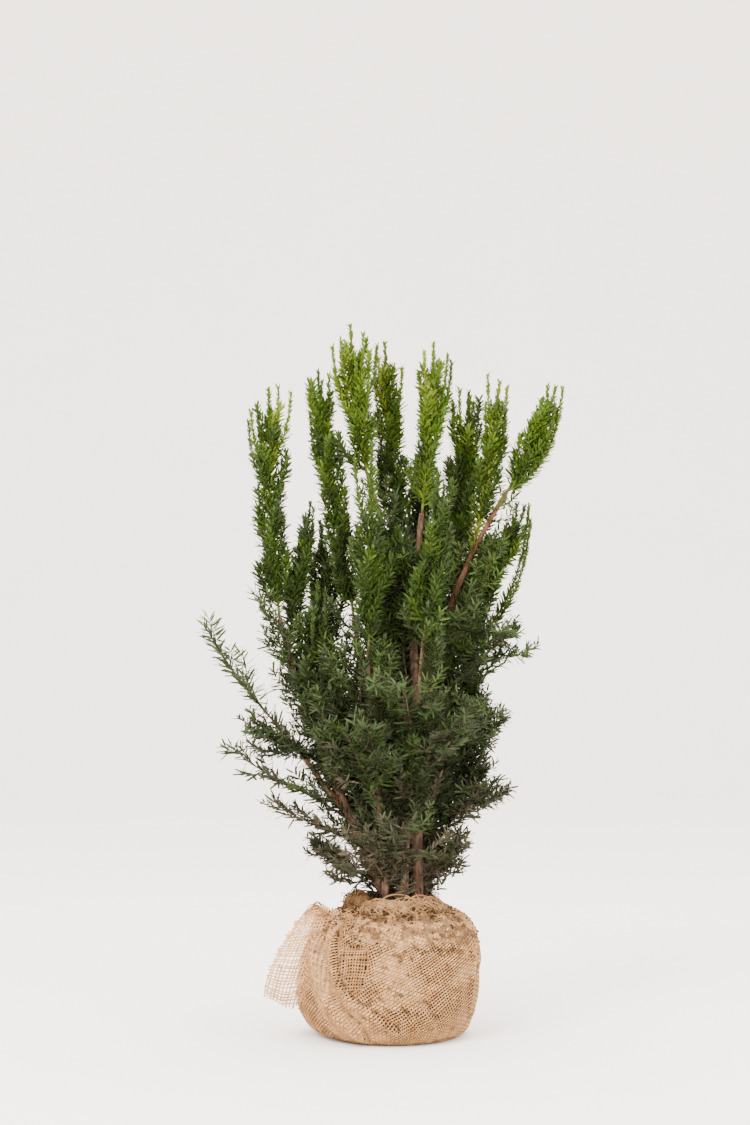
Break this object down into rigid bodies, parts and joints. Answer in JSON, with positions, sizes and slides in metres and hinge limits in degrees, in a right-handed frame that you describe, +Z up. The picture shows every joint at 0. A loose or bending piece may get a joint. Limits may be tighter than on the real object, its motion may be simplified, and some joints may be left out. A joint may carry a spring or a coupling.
{
  "type": "hedge sapling with root ball",
  "caption": "Young upright yew with several slender stems and dense needle plumes, standing on a rounded root ball wrapped in loose burlap.",
  "frame": {"origin": "centre of the root ball's flat underside", "axes": "+Z up along the stems, -Y to the front, -X to the side with the loose flap of burlap"},
  "size_m": [0.4688, 0.3404, 0.884],
  "materials": {
    "soil": "rough moist earth",
    "burlap": "coarse open weave",
    "bark": "thin flaking bark",
    "young_bark": "thin reddish bark",
    "needles_light": "glossy young needles",
    "needles_green": "glossy needles",
    "needles_dark": "dull needles"
  },
  "bodies": {
    "root": {"soil_core": "soil", "burlap_wrap": "burlap", "burlap_roll": "burlap", "burlap_flap": "burlap", "stem_main": "bark", "stem_left": "bark", "stem_centre": "bark", "stem_right_centre": "bark", "stem_back_left": "bark", "stem_back": "bark", "stem_front": "bark", "stem_front_left": "bark", "stem_back_low": "bark", "stem_back_right": "bark", "bough_centre_left": "young_bark", "bough_right": "young_bark", "bough_left_outer": "young_bark", "plume_left": "needles_light", "plume_main": "needles_light", "plume_centre": "needles_light", "plume_centre_left": "needles_light", "plume_back": "needles_light", "plume_right_centre": "needles_light", "plume_right": "needles_light", "plume_right_inner": "needles_light", "plume_front": "needles_green", "plume_front_left": "needles_green", "plume_back_low": "needles_green", "plume_back_right": "needles_green", "plume_back_left": "needles_green", "plume_right_outer": "needles_green", "plume_left_inner": "needles_green", "plume_mid_left": "needles_green", "sleeve_left_low": "needles_green", "sleeve_front_left": "needles_green", "sleeve_main_low": "needles_dark", "sleeve_main_high": "needles_green", "sleeve_centre_low": "needles_green", "sleeve_centre_high": "needles_green", "sleeve_right_low": "needles_green", "sleeve_right_high": "needles_green", "sleeve_back": "needles_green", "sleeve_back_low": "needles_green", "sleeve_back_right": "needles_green", "sleeve_back_left": "needles_dark", "spray_left_fork": "needles_green", "spray_left_outer": "needles_green", "spray_left_low": "needles_dark", "spray_left_third": "needles_dark", "spray_left_lowest": "needles_dark", "spray_low_left": "needles_dark", "spray_low_front_left": "needles_dark", "spray_low_front": "needles_dark", "spray_low_right": "needles_dark", "spray_right_low": "needles_dark", "spray_right_mid": "needles_dark", "spray_right_front": "needles_dark", "spray_right_upper": "needles_green", "spray_front": "needles_green", "spray_front_left": "needles_dark"}
  },
  "joints": []
}
